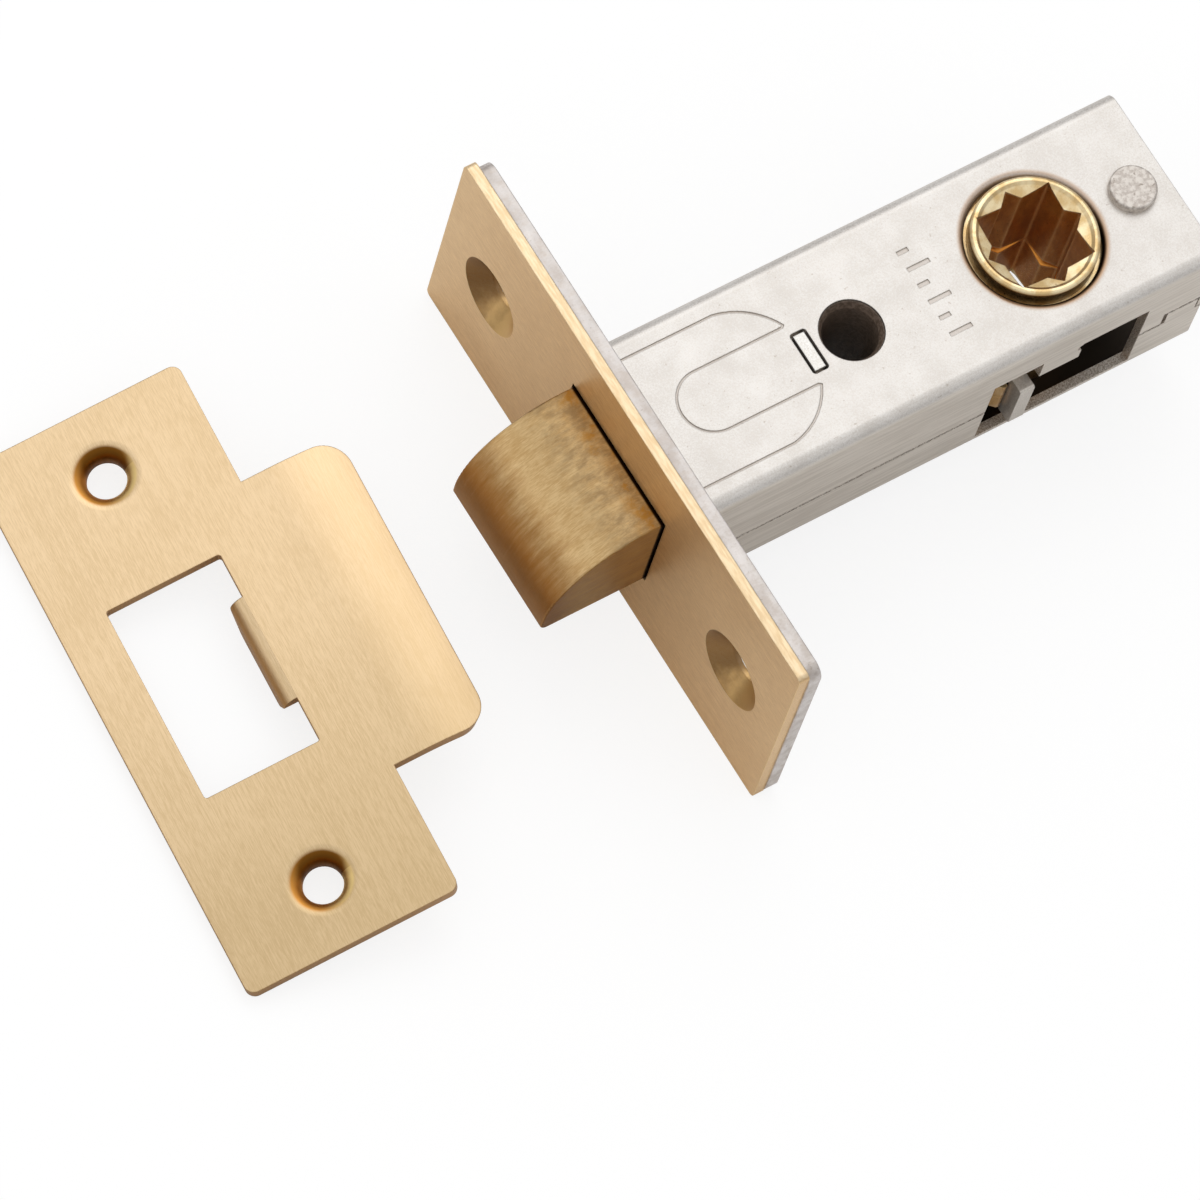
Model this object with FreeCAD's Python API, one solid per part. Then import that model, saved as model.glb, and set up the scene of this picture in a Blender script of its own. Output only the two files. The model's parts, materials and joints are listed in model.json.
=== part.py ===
import FreeCAD, Part
import math
import os

# Tubular mortice latch with its strike plate. Millimetres.
# Origin: middle of the forend's front face, on the axis of the latch bolt.
# +X runs back into the door, +Y along the forend, +Z along the spindle.
# The case lies on its broad face, and the strike plate lies beside it on the same bench.

V = FreeCAD.Vector
X_DIR = V(1, 0, 0)
Y_DIR = V(0, 1, 0)
Z_DIR = V(0, 0, 1)
ORIGIN = V(0, 0, 0)

# Forend: a brass cover over a steel plate
FOREND_LENGTH = 58.2
FOREND_WIDTH = 26.1
COVER_THICKNESS = 1.1
PLATE_THICKNESS = 1.3
PLATE_LENGTH = 58.0
PLATE_OFFSET_Y = -0.25
PLATE_CLEARANCE = 0.05
COVER_CORNER = 0.6
PLATE_CORNER = 1.4
SHELL_TAB_Z = 4.5
SHELL_TAB_HALF_WIDTH = 1.5
SCREW_Y = 21.2
COUNTERSINK_RADIUS = 4.1
COUNTERSINK_DEPTH = 1.8
SCREW_HOLE_RADIUS = 2.3
DIMPLE_WALL = 0.6
DIMPLE_REAR = 2.3
FOREND_BACK = COVER_THICKNESS + PLATE_THICKNESS

# Latch bolt
BOLT_WIDTH = 15.7
BOLT_HEIGHT = 11.7
BOLT_PROJECTION = 11.3
BEVEL_RADIUS = 10.2
NOSE_RADIUS = 0.8
BOLT_REAR = 6.6
BOLT_GAP = 0.2
EDGE_BREAK = 0.2

# Case: two half shells of folded steel strip
CASE_REAR = 59.8
CASE_HALF_WIDTH = 9.75
CASE_HALF_DEPTH = 8.25
SHEET = 1.0
BEND_RADIUS = 1.3
SEAM_Z = -1.6
SEAM_GAP = 0.18
WINDOW_FRONT = 35.5
WINDOW_REAR = 52.8
WINDOW_TOP = 3.65
WINDOW_BOTTOM = -6.7
TONGUE_FRONT = 41.0
TONGUE_REAR = 45.4
TONGUE_BOTTOM = 1.0
TONGUE_RELIEF_RADIUS = 0.5
TONGUE_RELIEF_Z = 3.0
LATCH_TAB_FRONT = 55.7
LATCH_TAB_REAR = 59.1
LATCH_TAB_TOP = 0.35
LATCH_NOTCH_GAP = 0.5
INNER_HALF_WIDTH = CASE_HALF_WIDTH - SHEET
INNER_HALF_DEPTH = CASE_HALF_DEPTH - SHEET

# Bolt-through fixing sleeve and spring stop
FIXING_X = 24.9
FIXING_HOLE_RADIUS = 3.15
SLEEVE_RADIUS = 3.85
SLEEVE_BORE_RADIUS = 2.7
SLEEVE_LEAD_IN = 0.8
SLEEVE_LEAD_IN_WALL = 0.1
SLEEVE_FIT = 0.05
SLEEVE_SUNK = 0.15
STOP_FRONT = 19.68
STOP_THICKNESS = 1.15
STOP_HALF_WIDTH = 7.3
STOP_TAB_HALF_WIDTH = 1.95
STOP_SLOT_GAP = 0.3
STOP_SLOT_CORNER = 0.35
STOP_FIT = 0.05

# Follower (split cam) and spindle hole
HUB_X = 45.0
HUB_RING_RADIUS = 6.15
HUB_BARREL_RADIUS = 7.2
HUB_PROUD = 1.0
HUB_RIM_ROUND = 0.35
DISH_WALL_RADII = (5.3, 5.6)
DISH_WALL_DEPTH = 0.25
DISH_FLOOR_RADII = (4.2, 5.3)
DISH_FLOOR_DEPTH = 0.35
SPLIT_CHAMFER_RADII = (4.2, 5.3)
SPLIT_CHAMFER_DEPTH = 0.45
SPINDLE_SIDE = 8.05
TURNED_SIDE = 7.3
CASE_HUB_RADIUS = 6.5
HUB_LIP_RADIUS = 0.6
CAM_SPLIT_Z = -2.35
CAM_SPLIT_GAP = 0.1
CAM_AXIAL_GAP = 0.1
FRONT_WING_Z = (-2.3, -0.3)
BACK_WING_Z = (-4.4, -2.4)
WING_CORNER_ORBIT = 10.9
WING_CORNER_RADIUS = 0.4
WING_HALF_WIDTH = 1.6
WING_GAP = 0.05
WING_RELIEF_ORBIT = 9.45
WING_RELIEF_RADIUS = 1.83
WING_RELIEF_DEPTH = 0.65

# Tail bars that carry the follower's pull to the bolt
BAR_INNER = 7.45
BAR_OUTER = 8.6
BAR_Z = (0.9, 3.6)
FOOT_INNER = 5.5
FOOT_Z = (-2.2, 3.6)
EAR_FRONT = 38.6
EAR_THICKNESS = 1.6
EAR_INNER = 8.6
EAR_OUTER = 10.4
EAR_TOP = 0.85
EAR_BRIDGE_BOTTOM = -0.15
EAR_BOTTOM = -5.5
TAIL_RIVET_Y = 6.4
TAIL_RIVET_Z = (-1.0, 2.2)
TAIL_RIVET_RADIUS = 0.8
TAIL_RIVET_HEAD_RADIUS = 1.0
TAIL_RIVET_DEPTH = 3.0
TAIL_RIVET_HEAD_HEIGHT = 0.4
EAR_CORNER = 0.3

# Springs: mean radius, wire diameter, front end, number of coils
LIGHT_SPRING = (2.8, 0.6, -5.0, 12)
HEAVY_SPRING = (4.1, 1.1, -1.5, 7)
LIGHT_BORE_RADIUS = 3.4
HEAVY_BORE_RADIUS = 4.9
SPRING_END_GAP = 0.05

# Rear rivet and its spacer tube
RIVET_X = 56.0
RIVET_SHANK_RADIUS = 1.5
RIVET_HEAD_RADIUS = 2.3
RIVET_HEAD_HEIGHT = 0.85
RIVET_HEAD_ROUND = 0.2
RIVET_FIT = 0.05
SPACER_RADIUS = 3.2

# Shallow stamped marks on the broad faces
STAMP_DEPTH = 0.12
STAMP_WIDTH = 0.22
GUIDE_HALF_WIDTH = 7.35
GUIDE_SHOULDER_X = 14.1
GUIDE_BULGE = (17.8, 5.65)
GUIDE_TIP = (19.6, 3.35)
GUIDE_BAR_HALF_WIDTH = 3.1
GUIDE_BAR_X = (9.6, 19.3)
GUIDE_BAR_NOSE_X = 6.5
TICK_X = 32.8
TICK_LENGTH = 2.4
TICK_WIDTH = 0.45
TICK_PITCH = 1.85
TICK_COUNT = 6

# Strike plate, in its own frame: face up at z = 0, tongue towards +X
STRIKE_WIDTH = 21.4
STRIKE_LENGTH = 57.2
STRIKE_THICKNESS = 1.3
STRIKE_CORNER = 1.0
STRIKE_SLOT_WIDTH = 11.7
STRIKE_SLOT_LENGTH = 20.3
STRIKE_SLOT_CORNER = 0.3
STRIKE_SCREW_Y = 22.0
STRIKE_HOLE_RADIUS = 1.9
DIMPLE_LIP_RADIUS = 1.5
DIMPLE_DEPTH = 2.1
DIMPLE_SKIRT = 1.0
DIMPLE_TOE_WIDTH = 0.8
DIMPLE_SKIRT_SLOPE = 0.4
TONGUE_HALF_LENGTH = 15.45
TONGUE_FLAT_END = 13.5
TONGUE_CURVE_RADIUS = 22.0
TONGUE_CURVE_ANGLE = 18.8
TONGUE_CORNER = 2.8
TANG_HALF_LENGTH = 5.5
TANG_TOE_HALF_LENGTH = 3.9
TANG_TOE_CORNER = 0.9
TANG_ROOT_OVERLAP = 0.4
TANG_FACE_X = 4.4
TANG_BEND_RADIUS = 1.7
TANG_DEPTH = 4.9
STRIKE_CENTRE = V(-39.1, 3.4, -9.24)
STRIKE_TILT = 13.5
STRIKE_TURN = -3.9


def box(x_range, y_range, z_range):
    size = [high - low for low, high in (x_range, y_range, z_range)]
    return Part.makeBox(*size, V(x_range[0], y_range[0], z_range[0]))


def both(half):
    return (-half, half)


def cylinder_z(x, y, radius, z_range):
    return Part.makeCylinder(radius, z_range[1] - z_range[0], V(x, y, z_range[0]), Z_DIR)


def cylinder_x(y, z, radius, x_range):
    return Part.makeCylinder(radius, x_range[1] - x_range[0], V(x_range[0], y, z), X_DIR)


def cone_z(x, radius_low, radius_high, z_range):
    height = z_range[1] - z_range[0]
    return Part.makeCone(radius_low, radius_high, height, V(x, 0, z_range[0]), Z_DIR)


def edges_at(shape, axis, **place):
    """Straight edges along one axis whose middle lies at the given coordinates."""
    found = []
    for edge in shape.Edges:
        if not isinstance(edge.Curve, Part.Line):
            continue
        if abs(abs(edge.tangentAt(edge.FirstParameter).dot(axis)) - 1) > 1e-6:
            continue
        middle = edge.CenterOfMass
        if all(abs(abs(getattr(middle, name)) - abs(value)) < 1e-4 for name, value in place.items()):
            found.append(edge)
    return found


def face_from(wire_parts):
    return Part.Face(Part.Wire(Part.__sortEdges__(wire_parts)))


def line(a, b):
    return Part.makeLine(a, b)


def arc(a, middle, b):
    return Part.Arc(a, middle, b).toShape()


def point_on_circle(centre, radius, degrees, across=X_DIR, up=Z_DIR):
    angle = math.radians(degrees)
    return centre + across * (radius * math.cos(angle)) + up * (radius * math.sin(angle))


def mirror_y(shape):
    return shape.mirror(ORIGIN, Y_DIR)


def mirror_z(shape):
    return shape.mirror(ORIGIN, Z_DIR)


# ---------------------------------------------------------------- forend

def plate_blank(x_range, length, offset_y, corner):
    y_range = (offset_y - length / 2, offset_y + length / 2)
    blank = box(x_range, y_range, both(FOREND_WIDTH / 2))
    corners = edges_at(blank, X_DIR, z=FOREND_WIDTH / 2)
    return blank.makeFillet(corner, corners)


def bolt_opening(gap):
    half_width = BOLT_WIDTH / 2 + gap
    half_height = BOLT_HEIGHT / 2 + gap
    return box((-1, FOREND_BACK + 1), both(half_width), both(half_height))


def countersink(y, grow, x_end):
    """Screw hole along X: a 45 degree cone, then a straight hole. It is grown for the dimple's outside."""
    cone_end = SCREW_HOLE_RADIUS + grow
    mouth = cone_end + COUNTERSINK_DEPTH
    cone = Part.makeCone(mouth, cone_end, COUNTERSINK_DEPTH, V(0, y, 0), X_DIR)
    return cone.fuse(cylinder_x(y, 0, cone_end, (0, x_end)))


def forend_cover():
    """The cover is pressed into the plate's countersinks, so each screw hole is lined with brass."""
    cover = plate_blank((0, COVER_THICKNESS), FOREND_LENGTH, 0, COVER_CORNER)
    cover = cover.cut(bolt_opening(BOLT_GAP))
    for y in both(SCREW_Y):
        cover = cover.fuse(countersink(y, DIMPLE_WALL, DIMPLE_REAR).common(screw_side(y)))
        cover = cover.cut(countersink(y, 0, DIMPLE_REAR))
    return cover.removeSplitter()


def screw_side(y):
    """The room behind the cover's face around one screw hole."""
    reach = COUNTERSINK_RADIUS + DIMPLE_WALL
    return box((COVER_THICKNESS / 2, DIMPLE_REAR), (y - reach, y + reach), both(reach))


def forend_plate():
    plate = plate_blank((COVER_THICKNESS, FOREND_BACK), PLATE_LENGTH, PLATE_OFFSET_Y, PLATE_CORNER)
    plate = plate.cut(bolt_opening(2 * BOLT_GAP))
    for y in both(SCREW_Y):
        plate = plate.cut(countersink(y, DIMPLE_WALL + PLATE_CLEARANCE, FOREND_BACK))
    for y in both(CASE_HALF_WIDTH - SHEET / 2):
        for z in both(SHELL_TAB_Z):
            slot = shell_tab(y, z, PLATE_CLEARANCE)
            plate = plate.cut(slot)
    return plate


def shell_tab(y, z, gap):
    x_range = (COVER_THICKNESS, FOREND_BACK + SHEET)
    y_range = (y - SHEET / 2 - gap, y + SHEET / 2 + gap)
    half = SHELL_TAB_HALF_WIDTH + gap
    return box(x_range, y_range, (z - half, z + half))


# ---------------------------------------------------------------- case

def channel(edge_z):
    """A U of strip with its broad face at +Z and its side walls down to edge_z."""
    x_range = (FOREND_BACK, CASE_REAR)
    outside = box(x_range, both(CASE_HALF_WIDTH), (edge_z, CASE_HALF_DEPTH))
    outside = outside.makeFillet(BEND_RADIUS, edges_at(outside, X_DIR, z=CASE_HALF_DEPTH))
    inside_x = (FOREND_BACK - 1, CASE_REAR + 1)
    inside = box(inside_x, both(INNER_HALF_WIDTH), (edge_z - 1, INNER_HALF_DEPTH))
    inside_corners = edges_at(inside, X_DIR, z=INNER_HALF_DEPTH)
    inside = inside.makeFillet(BEND_RADIUS - SHEET, inside_corners)
    tabs = [shell_tab(y, SHELL_TAB_Z, 0) for y in both(CASE_HALF_WIDTH - SHEET / 2)]
    return outside.cut(inside).fuse(tabs).removeSplitter()


def guide_outline():
    """Outline of the stamped guide: a blunt arrow with a round-ended bar cut out of it."""
    start = V(FOREND_BACK - 1, GUIDE_HALF_WIDTH, 0)
    shoulder = V(GUIDE_SHOULDER_X, GUIDE_HALF_WIDTH, 0)
    tip = V(*GUIDE_TIP, 0)
    bar_end = V(GUIDE_BAR_X[1], GUIDE_BAR_HALF_WIDTH, 0)
    bar_start = V(GUIDE_BAR_X[0], GUIDE_BAR_HALF_WIDTH, 0)
    nose = V(GUIDE_BAR_NOSE_X, 0, 0)
    bulge = V(*GUIDE_BULGE, 0)
    upper = [
        line(start, shoulder),
        arc(shoulder, bulge, tip),
        line(tip, bar_end),
        line(bar_end, bar_start),
    ]
    lower = [mirror_y(edge) for edge in upper]
    round_end = arc(bar_start, nose, V(bar_start.x, -bar_start.y, 0))
    front = line(V(start.x, -start.y, 0), start)
    return face_from(upper + lower + [round_end, front])


def stamped_outline():
    face = guide_outline()
    inner = face.makeOffset2D(-STAMP_WIDTH)
    ring = face.cut(inner)
    ring.translate(V(0, 0, CASE_HALF_DEPTH - STAMP_DEPTH))
    return ring.extrude(V(0, 0, 1))


def stamped_ticks():
    ticks = []
    z_range = (CASE_HALF_DEPTH - STAMP_DEPTH, CASE_HALF_DEPTH + 1)
    for index in range(TICK_COUNT):
        y = (index - (TICK_COUNT - 1) / 2) * TICK_PITCH
        length = TICK_LENGTH if index % 2 == 0 else TICK_LENGTH / 2
        ticks.append(box((TICK_X, TICK_X + length), (y - TICK_WIDTH / 2, y + TICK_WIDTH / 2), z_range))
    return ticks


def hub_hole():
    """Round hole whose rim rolls over into the case."""
    z_range = (INNER_HALF_DEPTH - 1, CASE_HALF_DEPTH + 1)
    hole = cylinder_z(HUB_X, 0, CASE_HUB_RADIUS, z_range)
    wide = CASE_HUB_RADIUS + HUB_LIP_RADIUS
    slab = cylinder_z(HUB_X, 0, wide, (CASE_HALF_DEPTH - HUB_LIP_RADIUS, CASE_HALF_DEPTH))
    centre = V(HUB_X, 0, CASE_HALF_DEPTH - HUB_LIP_RADIUS)
    ring = Part.makeTorus(wide, HUB_LIP_RADIUS, centre, Z_DIR)
    return hole.fuse(slab.cut(ring))


def face_openings():
    """Everything cut through a broad face, for the shell whose face is at +Z."""
    z_range = (INNER_HALF_DEPTH - 1, CASE_HALF_DEPTH + 1)
    slot_x = (STOP_FRONT - STOP_SLOT_GAP, STOP_FRONT + STOP_THICKNESS + STOP_SLOT_GAP)
    slot = box(slot_x, both(STOP_TAB_HALF_WIDTH + STOP_SLOT_GAP), z_range)
    slot = slot.makeFillet(STOP_SLOT_CORNER, edges_at(slot, Z_DIR))
    fixing = cylinder_z(FIXING_X, 0, FIXING_HOLE_RADIUS, z_range)
    rivet = cylinder_z(RIVET_X, 0, RIVET_SHANK_RADIUS + RIVET_FIT, z_range)
    return [slot, fixing, rivet, hub_hole(), stamped_outline()]


def side_window(z_range):
    return box((WINDOW_FRONT, WINDOW_REAR), both(CASE_HALF_WIDTH + 1), z_range)


def case_front_shell():
    edge_z = SEAM_Z + SEAM_GAP
    shell = channel(edge_z)
    window = side_window((edge_z - 1, WINDOW_TOP))
    tongue = box((TONGUE_FRONT, TONGUE_REAR), both(CASE_HALF_WIDTH + 1), (TONGUE_BOTTOM, WINDOW_TOP))
    relief_start = V(TONGUE_REAR, -CASE_HALF_WIDTH - 1, TONGUE_RELIEF_Z)
    relief = Part.makeCylinder(TONGUE_RELIEF_RADIUS, 2 * CASE_HALF_WIDTH + 2, relief_start, Y_DIR)
    shell = shell.cut(window.cut(tongue).fuse(relief))
    notch_x = (LATCH_TAB_FRONT - LATCH_NOTCH_GAP, LATCH_TAB_REAR + SEAM_GAP)
    notch = box(notch_x, both(CASE_HALF_WIDTH + 1), (edge_z - 1, LATCH_TAB_TOP + SEAM_GAP))
    return shell.cut([notch] + face_openings() + stamped_ticks())


def case_back_shell():
    """Built face up, then turned over; its walls meet the front shell's at the seam."""
    edge_z = -SEAM_Z
    shell = channel(edge_z)
    window = side_window((edge_z - 1, -WINDOW_BOTTOM))
    shell = shell.cut([window] + face_openings())
    tabs = []
    for y in both(CASE_HALF_WIDTH - SHEET / 2):
        y_range = (y - SHEET / 2, y + SHEET / 2)
        tabs.append(box((LATCH_TAB_FRONT, LATCH_TAB_REAR), y_range, (-LATCH_TAB_TOP, edge_z)))
    shell = shell.fuse(tabs).removeSplitter()
    shell.rotate(ORIGIN, X_DIR, 180)
    return shell


# ---------------------------------------------------------------- fixed pieces in the case

def spring_stop_plate():
    x_range = (STOP_FRONT, STOP_FRONT + STOP_THICKNESS)
    plate = box(x_range, both(STOP_HALF_WIDTH), both(INNER_HALF_DEPTH - STOP_FIT))
    tab = box(x_range, both(STOP_TAB_HALF_WIDTH), both(CASE_HALF_DEPTH))
    return plate.fuse(tab).removeSplitter()


def fixing_sleeve():
    spigot_end = CASE_HALF_DEPTH - SLEEVE_SUNK
    tube = cylinder_z(FIXING_X, 0, SLEEVE_RADIUS, both(INNER_HALF_DEPTH - STOP_FIT))
    spigots = cylinder_z(FIXING_X, 0, FIXING_HOLE_RADIUS - SLEEVE_FIT, both(spigot_end))
    bore = cylinder_z(FIXING_X, 0, SLEEVE_BORE_RADIUS, both(CASE_HALF_DEPTH))
    lead_in_z = (spigot_end - SLEEVE_LEAD_IN, spigot_end)
    mouth = FIXING_HOLE_RADIUS - SLEEVE_LEAD_IN_WALL
    lead_in = cone_z(FIXING_X, SLEEVE_BORE_RADIUS, mouth, lead_in_z)
    return tube.fuse(spigots).cut([bore, lead_in, mirror_z(lead_in)])


def rear_rivet():
    shank = cylinder_z(RIVET_X, 0, RIVET_SHANK_RADIUS, both(CASE_HALF_DEPTH))
    head_top = CASE_HALF_DEPTH + RIVET_HEAD_HEIGHT
    head = cylinder_z(RIVET_X, 0, RIVET_HEAD_RADIUS, (CASE_HALF_DEPTH, head_top))
    rim = [edge for edge in head.Edges if edge.CenterOfMass.z > head_top - 1e-6]
    head = head.makeFillet(RIVET_HEAD_ROUND, rim)
    return shank.fuse([head, mirror_z(head)])


def rivet_spacer():
    tube = cylinder_z(RIVET_X, 0, SPACER_RADIUS, both(INNER_HALF_DEPTH - STOP_FIT))
    return tube.cut(cylinder_z(RIVET_X, 0, RIVET_SHANK_RADIUS + RIVET_FIT, both(CASE_HALF_DEPTH)))


# ---------------------------------------------------------------- bolt and tail

def bolt_profile():
    """Side view: flat underneath, a quarter-round bevel on top, running down to the nose."""
    half = BOLT_HEIGHT / 2
    nose_x = -BOLT_PROJECTION
    centre = V(nose_x + BEVEL_RADIUS, 0, half - BEVEL_RADIUS)
    crown = V(centre.x, 0, half)
    foot = V(nose_x, 0, centre.z)
    corners = [foot, V(nose_x, 0, -half), V(BOLT_REAR, 0, -half), V(BOLT_REAR, 0, half), crown]
    sides = [line(a, b) for a, b in zip(corners, corners[1:])]
    bevel = arc(crown, point_on_circle(centre, BEVEL_RADIUS, 135), foot)
    return face_from(sides + [bevel])


def bolt_body():
    profile = bolt_profile()
    profile.translate(V(0, -BOLT_WIDTH / 2, 0))
    body = profile.extrude(V(0, BOLT_WIDTH, 0))
    nose = edges_at(body, Y_DIR, x=-BOLT_PROJECTION, z=-BOLT_HEIGHT / 2)
    body = body.makeFillet(NOSE_RADIUS, nose)
    side_edges = [
        edge for edge in body.Edges
        if abs(abs(edge.CenterOfMass.y) - BOLT_WIDTH / 2) < 1e-6 and edge.CenterOfMass.x < BOLT_REAR - 1e-6
    ]
    return body.makeFillet(EDGE_BREAK, side_edges)


def latch_bolt():
    body = bolt_body()
    bores = [
        cylinder_x(0, 0, LIGHT_BORE_RADIUS, (LIGHT_SPRING[2] - SPRING_END_GAP, BOLT_REAR)),
        cylinder_x(0, 0, HEAVY_BORE_RADIUS, (HEAVY_SPRING[2] - SPRING_END_GAP, BOLT_REAR)),
    ]
    for y in both(TAIL_RIVET_Y):
        for z in TAIL_RIVET_Z:
            bores.append(cylinder_x(y, z, TAIL_RIVET_RADIUS, (BOLT_REAR - TAIL_RIVET_DEPTH, BOLT_REAR)))
    return body.cut(bores)


def tail_bar_left():
    """One bent strip: a foot on the back of the bolt, a long leg, and an ear in the side window."""
    leg_y = (BAR_INNER, BAR_OUTER)
    ear_x = (EAR_FRONT, EAR_FRONT + EAR_THICKNESS)
    foot_x = (BOLT_REAR, BOLT_REAR + BAR_OUTER - BAR_INNER)
    foot = box(foot_x, (FOOT_INNER, BAR_OUTER), FOOT_Z)
    leg = box((BOLT_REAR, ear_x[1]), leg_y, BAR_Z)
    ear_root = box(ear_x, leg_y, (EAR_BRIDGE_BOTTOM, BAR_Z[1]))
    ear = box(ear_x, (BAR_INNER, EAR_OUTER), (EAR_BOTTOM, EAR_TOP))
    ear = ear.makeFillet(EAR_CORNER, edges_at(ear, X_DIR, y=EAR_OUTER))
    wing_room = box(ear_x, (BAR_INNER, EAR_INNER), (EAR_BOTTOM, EAR_BRIDGE_BOTTOM))
    bar = foot.fuse([leg, ear_root, ear.cut(wing_room)]).removeSplitter()
    for z in TAIL_RIVET_Z:
        bar = bar.cut(cylinder_x(TAIL_RIVET_Y, z, TAIL_RIVET_RADIUS, foot_x))
    return bar


def tail_bar_right():
    return mirror_y(tail_bar_left())


def tail_rivets():
    """Four small rivets, two through each foot."""
    foot_back = BOLT_REAR + BAR_OUTER - BAR_INNER
    rivets = []
    for y in both(TAIL_RIVET_Y):
        for z in TAIL_RIVET_Z:
            shank = cylinder_x(y, z, TAIL_RIVET_RADIUS, (BOLT_REAR - TAIL_RIVET_DEPTH, foot_back))
            head_x = (foot_back, foot_back + TAIL_RIVET_HEAD_HEIGHT)
            head = cylinder_x(y, z, TAIL_RIVET_HEAD_RADIUS, head_x)
            rivets.append(shank.fuse(head).removeSplitter())
    return Part.makeCompound(rivets)


def coil_spring(mean_radius, wire, front, coils):
    length = STOP_FRONT - front - 2 * SPRING_END_GAP - wire
    helix = Part.makeHelix(length / coils, length, mean_radius)
    section = Part.Wire(Part.makeCircle(wire / 2, V(mean_radius, 0, 0), Y_DIR))
    spring = Part.Wire(helix).makePipeShell([section], True, True)
    spring.rotate(ORIGIN, Y_DIR, 90)
    spring.translate(V(front + SPRING_END_GAP + wire / 2, 0, 0))
    return spring


# ---------------------------------------------------------------- follower

def star_hole(z_range):
    """An 8 mm spindle's square, and a smaller one set at 45 degrees to it."""
    square, turned = [spindle_square(side, z_range) for side in (SPINDLE_SIDE, TURNED_SIDE)]
    turned.rotate(V(HUB_X, 0, 0), Z_DIR, 45)
    return square.fuse(turned)


def spindle_square(side, z_range):
    return box((HUB_X - side / 2, HUB_X + side / 2), both(side / 2), z_range)


def wing_angle():
    """Direction of a wing from the front (-X) line, with its corner just off the ear."""
    reach = HUB_X - (EAR_FRONT - WING_GAP - WING_CORNER_RADIUS)
    corner_angle = math.acos(reach / WING_CORNER_ORBIT)
    across = WING_HALF_WIDTH - WING_CORNER_RADIUS
    return math.degrees(corner_angle - math.asin(across / WING_CORNER_ORBIT))


def wing(z_range):
    """One arm of a cam, pointing forwards and to the +Y side, hollowed behind its nose."""
    across = WING_HALF_WIDTH - WING_CORNER_RADIUS
    tip = math.sqrt(WING_CORNER_ORBIT ** 2 - across ** 2) + WING_CORNER_RADIUS
    arm = box((-tip, 0), both(WING_HALF_WIDTH), z_range)
    arm = arm.makeFillet(WING_CORNER_RADIUS, edges_at(arm, Z_DIR, x=-tip))
    relief_y = WING_HALF_WIDTH - WING_RELIEF_DEPTH + WING_RELIEF_RADIUS
    arm = arm.cut(cylinder_z(-WING_RELIEF_ORBIT, relief_y, WING_RELIEF_RADIUS, z_range))
    arm.rotate(ORIGIN, Z_DIR, -wing_angle())
    arm.translate(V(HUB_X, 0, 0))
    return arm


def cam(split_z, face_sign, wing_z):
    """Half of the follower: barrel, raised ring, two wings and the spindle hole."""
    inner_z = face_sign * (INNER_HALF_DEPTH - CAM_AXIAL_GAP)
    outer_z = face_sign * (CASE_HALF_DEPTH + HUB_PROUD)
    barrel = cylinder_z(HUB_X, 0, HUB_BARREL_RADIUS, sorted((split_z, inner_z)))
    ring = cylinder_z(HUB_X, 0, HUB_RING_RADIUS, sorted((split_z, outer_z)))
    rim = [edge for edge in ring.Edges if abs(edge.CenterOfMass.z - outer_z) < 1e-6]
    ring = ring.makeFillet(HUB_RIM_ROUND, rim)
    arm = wing(wing_z)
    body = barrel.fuse([ring, arm, mirror_y(arm)]).removeSplitter()
    dish_wall = flare(outer_z, -face_sign * DISH_WALL_DEPTH, DISH_WALL_RADII)
    dish_floor_z = outer_z - face_sign * DISH_WALL_DEPTH
    dish_floor = flare(dish_floor_z, -face_sign * DISH_FLOOR_DEPTH, DISH_FLOOR_RADII)
    chamfer = flare(split_z, face_sign * SPLIT_CHAMFER_DEPTH, SPLIT_CHAMFER_RADII)
    return body.cut([star_hole(both(CASE_HALF_DEPTH + 2)), dish_wall, dish_floor, chamfer])


def flare(mouth_z, depth, radii):
    """Cone about the spindle, widest at mouth_z and narrowing over depth, which is signed."""
    narrow, wide = radii
    if depth < 0:
        return cone_z(HUB_X, narrow, wide, (mouth_z + depth, mouth_z))
    return cone_z(HUB_X, wide, narrow, (mouth_z, mouth_z + depth))


def cam_front():
    return cam(CAM_SPLIT_Z + CAM_SPLIT_GAP / 2, 1, FRONT_WING_Z)


def cam_back():
    return cam(CAM_SPLIT_Z - CAM_SPLIT_GAP / 2, -1, BACK_WING_Z)


# ---------------------------------------------------------------- strike plate

def strike_body():
    half = STRIKE_WIDTH / 2
    z_range = (-STRIKE_THICKNESS, 0)
    body = box(both(half), both(STRIKE_LENGTH / 2), z_range)
    body = body.makeFillet(STRIKE_CORNER, edges_at(body, Z_DIR, x=half, y=STRIKE_LENGTH / 2))
    slot = box(both(STRIKE_SLOT_WIDTH / 2), both(STRIKE_SLOT_LENGTH / 2), (-STRIKE_THICKNESS - 1, 1))
    slot = slot.makeFillet(STRIKE_SLOT_CORNER, edges_at(slot, Z_DIR))
    return body.cut(slot)


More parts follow.
